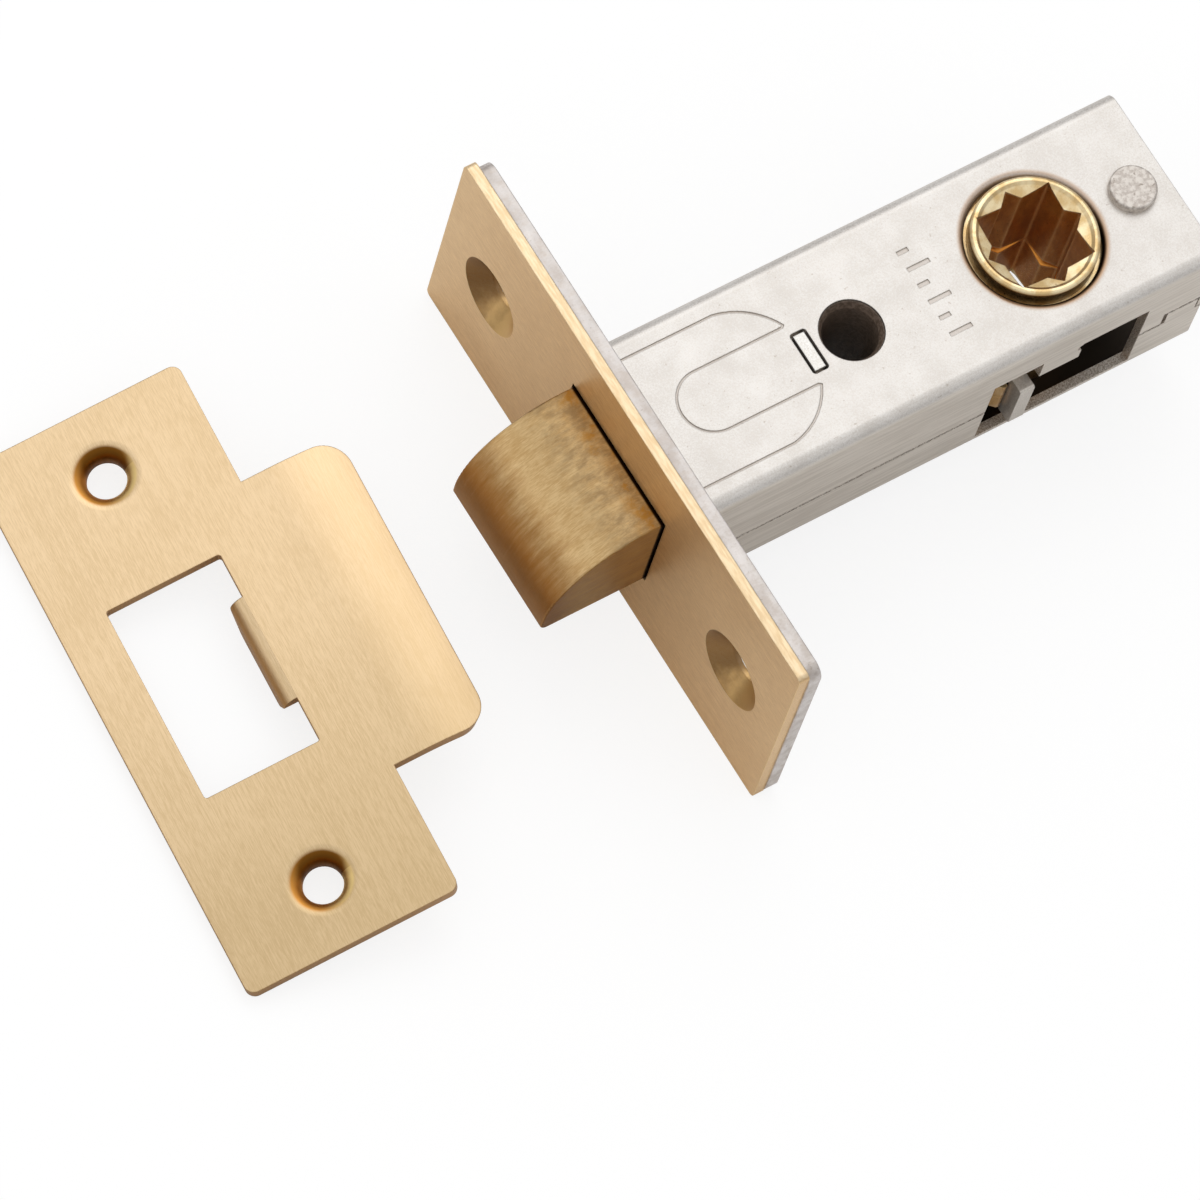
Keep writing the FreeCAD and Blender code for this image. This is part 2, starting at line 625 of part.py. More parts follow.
def strike_tongue():
    """Lip that leads the bolt into the slot, curving away from the face towards its edge."""
    centre = V(TONGUE_FLAT_END, 0, -TONGUE_CURVE_RADIUS)
    inner = TONGUE_CURVE_RADIUS - STRIKE_THICKNESS
    end = 90 - TONGUE_CURVE_ANGLE
    middle = 90 - TONGUE_CURVE_ANGLE / 2
    top = [point_on_circle(centre, TONGUE_CURVE_RADIUS, angle) for angle in (90, middle, end)]
    low = [point_on_circle(centre, inner, angle) for angle in (90, middle, end)]
    root_top = V(STRIKE_WIDTH / 2 - 1, 0, 0)
    root_low = V(STRIKE_WIDTH / 2 - 1, 0, -STRIKE_THICKNESS)
    sides = [line(root_top, top[0]), line(top[2], low[2]), line(low[0], root_low), line(root_low, root_top)]
    profile = face_from(sides + [arc(*top), arc(*low)])
    profile.translate(V(0, -TONGUE_HALF_LENGTH, 0))
    tongue = profile.extrude(V(0, 2 * TONGUE_HALF_LENGTH, 0))
    edge_middle = (top[2] + low[2]) * 0.5
    corners = [
        edge for edge in tongue.Edges
        if abs(edge.CenterOfMass.x - edge_middle.x) < 1e-4
        and abs(abs(edge.CenterOfMass.y) - TONGUE_HALF_LENGTH) < 1e-4
    ]
    return tongue.makeFillet(TONGUE_CORNER, corners)


def strike_tang():
    """Tab bent down at the edge of the slot, which takes up the bolt's rattle."""
    thick = STRIKE_THICKNESS
    bend_x = TANG_FACE_X + TANG_BEND_RADIUS
    centre = V(bend_x, 0, -TANG_BEND_RADIUS)
    inner = TANG_BEND_RADIUS - thick
    root_x = bend_x + TANG_ROOT_OVERLAP
    outer_arc = [point_on_circle(centre, TANG_BEND_RADIUS, angle) for angle in (90, 135, 180)]
    inner_arc = [point_on_circle(centre, inner, angle) for angle in (90, 135, 180)]
    toe_out = V(TANG_FACE_X, 0, -TANG_DEPTH)
    toe_in = V(TANG_FACE_X + thick, 0, -TANG_DEPTH)
    root_top = V(root_x, 0, 0)
    root_low = V(root_x, 0, -thick)
    sides = [
        line(root_top, outer_arc[0]),
        line(outer_arc[2], toe_out),
        line(toe_out, toe_in),
        line(toe_in, inner_arc[2]),
        line(inner_arc[0], root_low),
        line(root_low, root_top),
    ]
    profile = face_from(sides + [arc(*outer_arc), arc(*inner_arc)])
    profile.translate(V(0, -TANG_HALF_LENGTH, 0))
    tang = profile.extrude(V(0, 2 * TANG_HALF_LENGTH, 0)).common(tang_front_view())
    return tang.makeFillet(TANG_TOE_CORNER, edges_at(tang, X_DIR, y=TANG_TOE_HALF_LENGTH, z=TANG_DEPTH))


def tang_front_view():
    """The tab keeps its width through the bend, then narrows to its toe."""
    side = [
        V(0, TANG_HALF_LENGTH, 0),
        V(0, TANG_HALF_LENGTH, -STRIKE_THICKNESS),
        V(0, TANG_TOE_HALF_LENGTH, -TANG_DEPTH),
    ]
    other_side = [V(0, -corner.y, corner.z) for corner in reversed(side)]
    corners = side + other_side
    outline = face_from([line(a, b) for a, b in zip(corners, corners[1:] + corners[:1])])
    return outline.extrude(V(STRIKE_WIDTH / 2, 0, 0))


def screw_dimple(y):
    """Pressed countersink: the face rolls smoothly down to a straight hole."""
    hole = STRIKE_HOLE_RADIUS
    lip = DIMPLE_LIP_RADIUS
    centre = V(hole + lip, 0, -lip)
    roll = [point_on_circle(centre, lip, angle) for angle in (90, 135, 180)]
    outer = hole + lip + DIMPLE_SKIRT
    path = [
        roll[2],
        V(hole, 0, -DIMPLE_DEPTH),
        V(hole + DIMPLE_TOE_WIDTH, 0, -DIMPLE_DEPTH),
        V(outer - DIMPLE_SKIRT_SLOPE, 0, -STRIKE_THICKNESS),
        V(outer, 0, -STRIKE_THICKNESS),
        V(outer, 0, 0),
        roll[0],
    ]
    sides = [line(a, b) for a, b in zip(path, path[1:])]
    dimple = face_from(sides + [arc(*roll)]).revolve(ORIGIN, Z_DIR, 360)
    dimple.translate(V(0, y, 0))
    return dimple


def strike_plate():
    plate = strike_body().fuse([strike_tongue(), strike_tang()])
    outer = STRIKE_HOLE_RADIUS + DIMPLE_LIP_RADIUS + DIMPLE_SKIRT
    for y in both(STRIKE_SCREW_Y):
        plate = plate.cut(cylinder_z(0, y, outer, (-STRIKE_THICKNESS - 1, 1)))
        plate = plate.fuse(screw_dimple(y))
    plate = plate.removeSplitter()
    plate.rotate(ORIGIN, Y_DIR, -STRIKE_TILT)
    plate.rotate(ORIGIN, Z_DIR, STRIKE_TURN)
    plate.translate(STRIKE_CENTRE)
    return plate


PARTS = {
    "forend_cover": forend_cover,
    "forend_plate": forend_plate,
    "case_front_shell": case_front_shell,
    "case_back_shell": case_back_shell,
    "spring_stop_plate": spring_stop_plate,
    "fixing_sleeve": fixing_sleeve,
    "rear_rivet": rear_rivet,
    "rivet_spacer": rivet_spacer,
    "latch_bolt": latch_bolt,
    "tail_bar_left": tail_bar_left,
    "tail_bar_right": tail_bar_right,
    "tail_rivets": tail_rivets,
    "bolt_spring": lambda: coil_spring(*LIGHT_SPRING),
    "return_spring": lambda: coil_spring(*HEAVY_SPRING),
    "cam_front": cam_front,
    "cam_back": cam_back,
    "strike_plate": strike_plate,
}

os.makedirs("parts", exist_ok=True)
for node, make in PARTS.items():
    shape = make()
    shape.exportStep("parts/" + node + ".step")
    print(node, len(shape.Solids), shape.isValid(), round(shape.Volume, 1))
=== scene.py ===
import bpy
import json
import math
from mathutils import Matrix, Vector


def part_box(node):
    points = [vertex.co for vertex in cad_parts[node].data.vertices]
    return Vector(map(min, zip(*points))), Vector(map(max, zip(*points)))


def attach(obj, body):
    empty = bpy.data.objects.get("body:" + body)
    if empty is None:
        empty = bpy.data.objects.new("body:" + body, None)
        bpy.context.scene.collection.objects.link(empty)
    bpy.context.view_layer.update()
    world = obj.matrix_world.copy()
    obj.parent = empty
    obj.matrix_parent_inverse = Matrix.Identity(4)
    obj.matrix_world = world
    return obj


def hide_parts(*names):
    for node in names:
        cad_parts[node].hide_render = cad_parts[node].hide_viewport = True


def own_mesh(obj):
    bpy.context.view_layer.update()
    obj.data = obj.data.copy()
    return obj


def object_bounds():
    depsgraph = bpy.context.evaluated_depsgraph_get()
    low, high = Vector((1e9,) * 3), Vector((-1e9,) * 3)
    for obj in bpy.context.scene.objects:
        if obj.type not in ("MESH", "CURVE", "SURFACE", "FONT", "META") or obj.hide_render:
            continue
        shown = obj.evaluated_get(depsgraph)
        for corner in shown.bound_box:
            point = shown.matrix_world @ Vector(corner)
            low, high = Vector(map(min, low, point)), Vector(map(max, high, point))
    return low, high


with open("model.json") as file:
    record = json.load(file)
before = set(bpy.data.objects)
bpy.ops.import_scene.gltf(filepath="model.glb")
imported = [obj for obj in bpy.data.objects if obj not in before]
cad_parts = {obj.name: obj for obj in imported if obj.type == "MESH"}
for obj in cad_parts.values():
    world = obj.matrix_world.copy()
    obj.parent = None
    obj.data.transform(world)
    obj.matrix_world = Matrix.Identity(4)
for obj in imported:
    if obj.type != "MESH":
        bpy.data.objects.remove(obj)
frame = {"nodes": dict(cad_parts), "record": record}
cad_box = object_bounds()
nodes = frame["nodes"]

MM = 0.001
X_DIR, Y_DIR, Z_DIR = (1, 0, 0), (0, 1, 0), (0, 0, 1)

# Where a change of finish, or of painted light and shade, starts and ends on the object, in
# millimetres.
SCREW_Y = 21.2
SCREW_REACH = 4.3
NOSE_TARNISH_AND_SHADE = (2.3, 6.3)
NOSE_RAGGEDNESS = 4.0
RUBBED_X = (-7.0, -3.0)
STAINED_X = (-3.0, -1.0)
BOLT_GAP_SHADOW_X = (-0.42, -0.2)
CASE_INSIDE = 0.95
FACE_DEPTH = 1.2
STAMP_DEPTH = 0.12
STAMP_SOFT = 0.03
HUB_X = 45.0
HUB_HOLE_RADIUS = 5.9
HUB_GAP_SHADOW_RADII = (6.65, 6.95)
HUB_REFLECTION_RADII = (6.9, 7.4)
DISH_FLOOR_Z = 8.6
DEEP_IN_HUB_Z = (6.0, 7.0)
SEAM_Z = -1.52
SEAM_STEP_Z = 0.44
SEAM_STEP_X = 57.25
SEAM_STEP_HALF = 2.0
SEAM_STEP_SOFT = 0.1
SEAM_HALF = 0.12
SEAM_SOFT = 0.14
STRIKE_DISH_RADII = (3.0, 3.6)
STRIKE_SHADE_BEFORE_HOLES = (8.0, 12.0)

# How sharply a noise turns from one tone to another: it does so between these two of its values.
GENTLE = (0.3, 0.7)
MILD = (0.36, 0.64)
CLEAR = (0.38, 0.62)
CRISP = (0.4, 0.6)
SPECK_SOFT = 0.08

# Directions on the object that the painted highlights and painted shade on the pressed holes and
# round the hub hole follow.
DISH_LIT_SIDE = (-0.89, 0.45, 0)
DISH_SHADED_SIDE = (-0.45, -0.89, 0)
HUB_SHADED_SIDE = (0.2, 0.98, 0)

SCREEN_GAMMA = 2.2

# Colours, as screen values from 0 to 255. The tints are factors instead.
STRIKE_LIGHT, STRIKE_DARK, STRIKE_EDGE = (245, 216, 174), (228, 198, 154), (176, 130, 76)
STRIKE_STEEP_SHADE = (162, 114, 54)
STRIKE_NEAR_SHADE_TINT = (0.80, 0.79, 0.74, 1.0)
DISH_GOLD, DISH_PAINTED_HIGHLIGHT, DISH_PAINTED_SHADE = (218, 152, 74), (255, 222, 150), (122, 80, 32)
COVER_LIGHT, COVER_DARK, COVER_EDGE = (241, 208, 161), (221, 185, 138), (246, 216, 164)
COVER_LIP_LIGHT, COVER_LIP_DARK = (242, 219, 182), (226, 198, 156)
SCREW_LIT, SCREW_SHADED = (206, 166, 104), (120, 82, 36)
BOLT_LIGHT, BOLT_DARK = (232, 200, 148), (204, 166, 112)
BOLT_NOSE, BOLT_RUBBED = (158, 106, 48), (150, 123, 88)
BOLT_STAIN, BOLT_GAP_SHADOW = (184, 132, 56), (34, 22, 12)
BOLT_SIDE_SHADE_TINT = (0.55, 0.48, 0.36, 1.0)
ZINC_PIT, ZINC_HOLLOW_SHADE = (158, 142, 124), (142, 124, 106)
CASE_LIGHT, CASE_DARK = (236, 232, 227), (214, 208, 201)
CASE_WALL_LIGHT, CASE_WALL_DARK = (223, 214, 202), (204, 194, 181)
TORN_LIGHT, TORN_DARK = (236, 229, 220), (174, 160, 146)
SEAM_FLECK, SEAM_SHADOW = (206, 196, 186), (74, 54, 40)
STAMP_GREY, HUB_BRASS_REFLECTION, HUB_GAP_SHADOW = (182, 168, 156), (172, 126, 74), (26, 17, 10)
INSIDE_SHADE = (46, 40, 34)
STOP_LIGHT, STOP_DARK = (236, 234, 230), (206, 202, 195)
BAR_LIGHT, BAR_DARK = (230, 224, 216), (206, 198, 188)
SHEARED_LIGHT, SHEARED_DARK, SHEARED_FLECK = (226, 220, 216), (196, 186, 178), (146, 130, 114)
CAST_LIGHT, CAST_DARK, CAST_MARK = (250, 230, 186), (222, 190, 136), (130, 90, 48)
CAST_SIDE_SHADE, HOLE_GLINT = (150, 106, 52), (236, 160, 76)
HOLE_LIGHT, HOLE_DARK, HOLE_CORNER_HIGHLIGHT = (208, 142, 66), (184, 118, 46), (255, 206, 140)
RIVET_LIGHT, RIVET_DARK, RIVET_PIT = (228, 221, 213), (184, 175, 167), (128, 114, 100)
WIRE_LIGHT, WIRE_DARK = (172, 168, 162), (116, 112, 108)
NYLON_LIGHT, NYLON_DARK = (116, 100, 88), (88, 74, 62)


# ---------------------------------------------------------------- building a node material

class Look:
    """One metal or plastic finish, built from nodes on the object's own coordinates."""

    def __init__(self, name, turn=(0, 0, 0)):
        self.material = bpy.data.materials.new(name)
        self.material.use_nodes = True
        self.tree = self.material.node_tree
        self.shader = self.tree.nodes["Principled BSDF"]
        self.place = self.add("ShaderNodeTexCoord").outputs["Object"]
        if any(turn):
            back = self.add("ShaderNodeVectorRotate", rotation_type="EULER_XYZ", invert=True)
            self.feed(self.place, back.inputs["Vector"])
            self.feed(turn, back.inputs["Rotation"])
            self.place = back.outputs["Vector"]

    def add(self, kind, **settings):
        node = self.tree.nodes.new(kind)
        for name, value in settings.items():
            setattr(node, name, value)
        return node

    def feed(self, value, socket):
        if isinstance(value, bpy.types.NodeSocket):
            self.tree.links.new(value, socket)
        else:
            socket.default_value = value

    def set(self, **inputs):
        for name, value in inputs.items():
            self.feed(value, self.shader.inputs[name.replace("_", " ")])

    def base(self):
        """The colour that the finish has so far."""
        return self.shader.inputs["Base Color"].links[0].from_socket

    def calc(self, operation, *values):
        node = self.add("ShaderNodeMath", operation=operation)
        for value, socket in zip(values, node.inputs):
            self.feed(value, socket)
        return node.outputs[0]

    def times(self, first, *others):
        for other in others:
            first = self.calc("MULTIPLY", first, other)
        return first

    def weighted(self, first, share, second):
        """A share of the first value, and the rest of the second."""
        return self.calc("MULTIPLY_ADD", first, share, self.times(second, 1 - share))

    def along(self, axis):
        """The position along one axis, in metres."""
        split = self.add("ShaderNodeSeparateXYZ")
        self.feed(self.place, split.inputs["Vector"])
        return split.outputs[axis]

    def off_middle(self, axis):
        """Distance from the plane through the origin across one axis, in metres."""
        return self.calc("ABSOLUTE", self.along(axis))

    def from_axis(self, x_mm, y_mm=0.0):
        """Distance from the Z line through (x_mm, y_mm), in millimetres."""
        flat = self.add("ShaderNodeCombineXYZ")
        self.feed(self.along("X"), flat.inputs["X"])
        self.feed(self.along("Y"), flat.inputs["Y"])
        away = self.add("ShaderNodeVectorMath", operation="DISTANCE")
        self.feed(flat.outputs["Vector"], away.inputs[0])
        self.feed((x_mm * MM, y_mm * MM, 0), away.inputs[1])
        return self.calc("DIVIDE", away.outputs["Value"], MM)

    def leaning(self, direction):
        """The surface normal's part along a direction, from -1 to 1."""
        node = self.add("ShaderNodeVectorMath", operation="DOT_PRODUCT")
        self.feed(self.add("ShaderNodeNewGeometry").outputs["Normal"], node.inputs[0])
        self.feed(tuple(direction), node.inputs[1])
        return node.outputs["Value"]

    def facing(self, direction):
        """How squarely the surface faces along a direction or against it, from 0 to 1."""
        return self.calc("ABSOLUTE", self.leaning(direction))

    def noise(self, size_mm, detail=3.0, rough=0.55, shift=0.0):
        """Noise whose features are about size_mm across: one number, or one for each axis."""
        sizes = size_mm if isinstance(size_mm, tuple) else (size_mm,) * 3
        scaled = self.add("ShaderNodeMapping")
        self.feed(self.place, scaled.inputs["Vector"])
        self.feed(tuple(1 / (size * MM) for size in sizes), scaled.inputs["Scale"])
        self.feed((shift,) * 3, scaled.inputs["Location"])
        node = self.add("ShaderNodeTexNoise")
        self.feed(scaled.outputs["Vector"], node.inputs["Vector"])
        self.feed(1.0, node.inputs["Scale"])
        self.feed(detail, node.inputs["Detail"])
        self.feed(rough, node.inputs["Roughness"])
        return node.outputs["Fac"]

    def ramp(self, value, low, high, start=0.0, end=1.0):
        """value from low to high becomes start to end, and stays inside them."""
        node = self.add("ShaderNodeMapRange", interpolation_type="SMOOTHSTEP")
        for part, socket in zip((value, low, high, start, end), node.inputs):
            self.feed(part, socket)
        return node.outputs["Result"]

    def fading(self, value, low, high, most=1.0):
        """most where value is below low, falling to 0 at high."""
        return self.ramp(value, low, high, most, 0.0)

    def rising_mm(self, value, ends_mm, most=1.0):
        """0 to most, for a position in metres between two ends in millimetres."""
        return self.ramp(value, ends_mm[0] * MM, ends_mm[1] * MM, 0.0, most)

    def band(self, value, middle, half, soft):
        """1 where value is within half of the middle, falling to 0 over soft."""
        away = self.calc("ABSOLUTE", self.calc("SUBTRACT", value, middle))
        return self.fading(away, half, half + soft)

    def squarely(self, direction, low, high, most=1.0):
        """0 to most as facing(direction) goes from low to high."""
        return self.ramp(self.facing(direction), low, high, 0.0, most)

    def turned_from(self, direction, low, high, most=1.0):
        """most to 0 as facing(direction) goes from low to high."""
        return self.fading(self.facing(direction), low, high, most)

    def specks(self, size_mm, above, strength, shift, rough=0.55):
        """Scattered spots, where a noise rises above a value."""
        noise = self.noise(size_mm, detail=2.0, rough=rough, shift=shift)
        return self.ramp(noise, above, above + SPECK_SOFT, 0.0, strength)

    def mix(self, factor, first, second, blend="MIX"):
        node = self.add("ShaderNodeMix", data_type="RGBA", blend_type=blend)
        self.feed(factor, node.inputs["Factor"])
        self.feed(colour(first), node.inputs["A"])
        self.feed(colour(second), node.inputs["B"])
        return node.outputs["Result"]

    def blend_values(self, factor, first, second):
        node = self.add("ShaderNodeMix", data_type="FLOAT")
        for value, name in zip((factor, first, second), ("Factor", "A", "B")):
            self.feed(value, node.inputs[name])
        return node.outputs["Result"]

    def rounded(self, radius_mm):
        """The normal that the surface would have with its sharp edges rounded over."""
        node = self.add("ShaderNodeBevel", samples=6)
        self.feed(radius_mm * MM, node.inputs["Radius"])
        return node.outputs["Normal"]

    def edges(self, radius_mm, low=0.02, high=0.25):
        """1 on sharp edges, falling to 0 at about radius_mm from them."""
        node = self.add("ShaderNodeVectorMath", operation="DOT_PRODUCT")
        self.feed(self.rounded(radius_mm), node.inputs[0])
        self.feed(self.add("ShaderNodeNewGeometry").outputs["Normal"], node.inputs[1])
        away = self.calc("SUBTRACT", 1.0, node.outputs["Value"])
        return self.ramp(away, low, high)

    def hollows(self, reach_mm, low, high):
        """1 deep inside holes and corners, 0 on open faces."""
        node = self.add("ShaderNodeAmbientOcclusion", samples=6)
        self.feed(reach_mm * MM, node.inputs["Distance"])
        return self.fading(node.outputs["AO"], low, high)

    def bump(self, height, depth_mm, normal):
        node = self.add("ShaderNodeBump")
        self.feed(height, node.inputs["Height"])
        self.feed(depth_mm * MM, node.inputs["Distance"])
        self.feed(1.0, node.inputs["Strength"])
        if normal is not None:
            self.feed(normal, node.inputs["Normal"])
        return node.outputs["Normal"]

    def surface(self, base, grain, metal, roughness, depth_mm, edge_mm=None, height=None):
        """The whole finish. The grain varies the roughness, and the height too if none is given."""
        self.set(Base_Color=base, Metallic=metal)
        self.set(Roughness=self.ramp(grain, *GENTLE, *roughness))
        normal = None if edge_mm is None else self.rounded(edge_mm)
        self.set(Normal=self.bump(grain if height is None else height, depth_mm, normal))

    def sheen_across(self, direction, amount):
        """Stretches highlights along a direction, as brushing does at right angles to its grain."""
        self.feed(amount, self.shader.inputs["Anisotropic"])
        across = self.add("ShaderNodeCombineXYZ")
        for part, socket in zip(direction, across.inputs):
            self.feed(part, socket)
        self.feed(across.outputs["Vector"], self.shader.inputs["Tangent"])


def colour(value):
    """Screen values turned to linear light. Sockets and tints stay as they are."""
    if isinstance(value, bpy.types.NodeSocket) or len(value) == 4:
        return value
    linear = [(part / 255) ** SCREEN_GAMMA for part in value]
    return (*linear, 1.0)


def paint(look, *names):
    for name in names:
        mesh = nodes[name].data
        mesh.materials.clear()
        mesh.materials.append(look.material)


# ---------------------------------------------------------------- brass

def brushed_brass(name, light, dark, edge_tone, turn=(0, 0, 0)):
    """Satin brass brushed along Y: long fine streaks, soft clouds and burnished edges."""
    edge_mm = 0.16
    look = Look(name, turn)
    streaks = look.noise((0.2, 14.0, 0.2), detail=2.0)
    fine = look.noise((0.08, 1.2, 0.08), rough=0.7, shift=7.0)
    grain = look.weighted(fine, 0.7, streaks)
    tone = look.weighted(look.noise(9.0, shift=3.0), 0.15, grain)
    base = look.mix(look.ramp(tone, *CRISP), dark, light)
    base = look.mix(look.edges(edge_mm), base, edge_tone)
    look.surface(base, grain, metal=1.0, roughness=(0.36, 0.46), depth_mm=0.006, edge_mm=edge_mm)
    return look


def strike_holes():
    """The middles of the strike plate's two screw holes, and the direction they face."""
    mounts = {mount["name"]: mount for mount in frame["record"]["mounts"]}
    holes = [mounts[name] for name in ("strike_screw_a", "strike_screw_b")]
    return [Vector(hole["pos_m"]) for hole in holes], Vector(holes[0]["axis"]).normalized()


def strike_axes():
    """The strike plate's own directions: across it, along it and out of its face."""
    holes, up = strike_holes()
    near, far = sorted(holes, key=lambda hole: hole.y)
    along = far - near
    along = (along - up * along.dot(up)).normalized()
    return along.cross(up), along, up


def pressed_holes(look):
    """The dished surfaces round the strike plate's screw holes."""
    across, along, up = strike_axes()
    beside = []
    for hole in strike_holes()[0]:
        radius = look.from_axis(hole.dot(across) / MM, hole.dot(along) / MM)
        beside.append(look.fading(radius, *STRIKE_DISH_RADII))
    return look.times(look.calc("MAXIMUM", *beside), look.turned_from(up, 0.9, 0.995))


def pressed_gold(look):
    """Polished by the press: deep gold, with a painted highlight on one side and painted shade on
    another.
    """
    # Painted highlight on the lit side of each dish, painted shade on the shaded side.
    pale = look.ramp(look.leaning(DISH_LIT_SIDE), 0.1, 0.6)
    shaded = look.ramp(look.leaning(DISH_SHADED_SIDE), 0.0, 0.5)
    return look.mix(shaded, look.mix(pale, DISH_GOLD, DISH_PAINTED_HIGHLIGHT), DISH_PAINTED_SHADE)


def strike_brass():
    """Paler at the +Y end from painted shade towards -Y, browner by painted shade on its steep
    edges and bends, and gold pressed holes with a painted highlight and painted shade.
    """
    across, along, up = strike_axes()
    turn = tuple(Matrix((across, along, up)).transposed().to_euler())
    look = brushed_brass("strike_brass", STRIKE_LIGHT, STRIKE_DARK, STRIKE_EDGE, turn)
    holes = sorted(hole.dot(along) for hole in strike_holes()[0])
    start, end = (hole - before * MM for hole, before in zip(holes, STRIKE_SHADE_BEFORE_HOLES))
    # Painted shade: darker towards the -Y end, fading out before the screw holes.
    shade = look.fading(look.along("Y"), start, end)
    base = look.mix(shade, look.base(), STRIKE_NEAR_SHADE_TINT, "MULTIPLY")
    # Painted shade: browner on steep edges, bends and the tang.
    base = look.mix(look.turned_from(up, 0.5, 0.97, most=0.85), base, STRIKE_STEEP_SHADE)
    look.set(Base_Color=look.mix(pressed_holes(look), base, pressed_gold(look)))
    look.sheen_across(across, 0.4)
    return look


def screw_holes(look):
    """The countersinks in the forend: the sloping surfaces round each screw's axis."""
    level = look.calc("LESS_THAN", look.off_middle("Z"), SCREW_REACH * MM)
    off_axis = look.calc("ABSOLUTE", look.calc("SUBTRACT", look.off_middle("Y"), SCREW_Y * MM))
    beside = look.calc("LESS_THAN", off_axis, SCREW_REACH * MM)
    return look.times(level, beside, look.turned_from(X_DIR, 0.75, 0.95, most=0.8))


def cover_brass():
    """Browner down its screw holes with painted shade on one side, and a creamy painted highlight
    on the turned edge that catches the light.
    """
    look = brushed_brass("cover_brass", COVER_LIGHT, COVER_DARK, COVER_EDGE)
    # Painted highlight: creamy streaked brass on the turned edge facing +Z.
    lit_lip = look.squarely(Z_DIR, 0.6, 0.9)
    streaks = look.ramp(look.noise((0.25, 1.6, 0.25), shift=1.0), 0.35, 0.65)
    base = look.mix(lit_lip, look.base(), look.mix(streaks, COVER_LIP_DARK, COVER_LIP_LIGHT))
    # Painted light and shade down the screw holes: darker where the surface turns away from +Y,
    # with clouds.
    cloud = look.noise(1.2, detail=4.0, shift=11.0)
    shade = look.calc("MULTIPLY_ADD", cloud, 0.9, look.leaning(Y_DIR))
    shade = look.ramp(shade, 0.0, 0.9)
    base = look.mix(screw_holes(look), base, look.mix(shade, SCREW_SHADED, SCREW_LIT))
    look.set(Base_Color=base)
    look.sheen_across(Z_DIR, 0.4)
    return look


def bolt_grain(look):
    """Fine wavy scratches that run round the bevel, and straight along the bolt on its sides."""
    waves = look.noise((2.2, 0.18, 2.2), rough=0.6)
    fine = look.noise((0.7, 0.09, 0.7), rough=0.65, shift=5.0)
    bevel = look.weighted(fine, 0.6, waves)
    side = look.noise((3.0, 3.0, 0.15), rough=0.6, shift=2.0)
    on_side = look.squarely(Y_DIR, 0.6, 0.8)
    return look.blend_values(on_side, bevel, side), on_side


def bolt_brass():
    """Older brass: rubbed grey-brown near the forend, orange-brown at its nose from tarnish and
    painted shade, with painted shade on its sides and a painted shadow at the cover.
    """
    look = Look("bolt_brass")
    grain, on_side = bolt_grain(look)
    on_bevel = look.calc("SUBTRACT", 1.0, on_side)
    tone = look.weighted(look.noise(1.6, shift=8.0), 0.25, grain)
    base = look.mix(look.ramp(tone, *CLEAR), BOLT_DARK, BOLT_LIGHT)
    x = look.along("X")
    nose_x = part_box("latch_bolt")[0].x
    # Tarnish and painted shade: orange-brown towards the nose, with a ragged edge.
    ragged = look.noise((5.0, 0.5, 5.0), detail=4.0, rough=0.6, shift=4.0)
    shifted = look.calc("MULTIPLY_ADD", ragged, NOSE_RAGGEDNESS * MM, x)
    start, end = (nose_x + reach * MM for reach in NOSE_TARNISH_AND_SHADE)
    base = look.mix(look.fading(shifted, start, end, most=0.8), base, BOLT_NOSE)
    rubbing = look.noise((1.8, 0.9, 1.8), detail=5.0, rough=0.7, shift=2.0)
    rubbing = look.ramp(rubbing, *GENTLE, start=0.3)
    rubbed = look.times(rubbing, look.rising_mm(x, RUBBED_X, most=0.9), on_bevel)
    base = look.mix(rubbed, base, BOLT_RUBBED)
    stains = look.ramp(look.noise(1.3, detail=4.0, shift=6.0), 0.46, 0.66)
    stains = look.times(stains, look.rising_mm(x, STAINED_X, most=0.8), on_bevel)
    base = look.mix(stains, base, BOLT_STAIN)
    # Painted shade: the flat sides are darkened.
    base = look.mix(on_side, base, BOLT_SIDE_SHADE_TINT, "MULTIPLY")
    # Painted shadow: a near-black band where the bolt meets the cover's opening.
    base = look.mix(look.rising_mm(x, BOLT_GAP_SHADOW_X), base, BOLT_GAP_SHADOW)
    look.surface(
        base, grain, metal=1.0, roughness=(0.36, 0.5), depth_mm=0.02, edge_mm=0.2, height=tone
    )
    return look


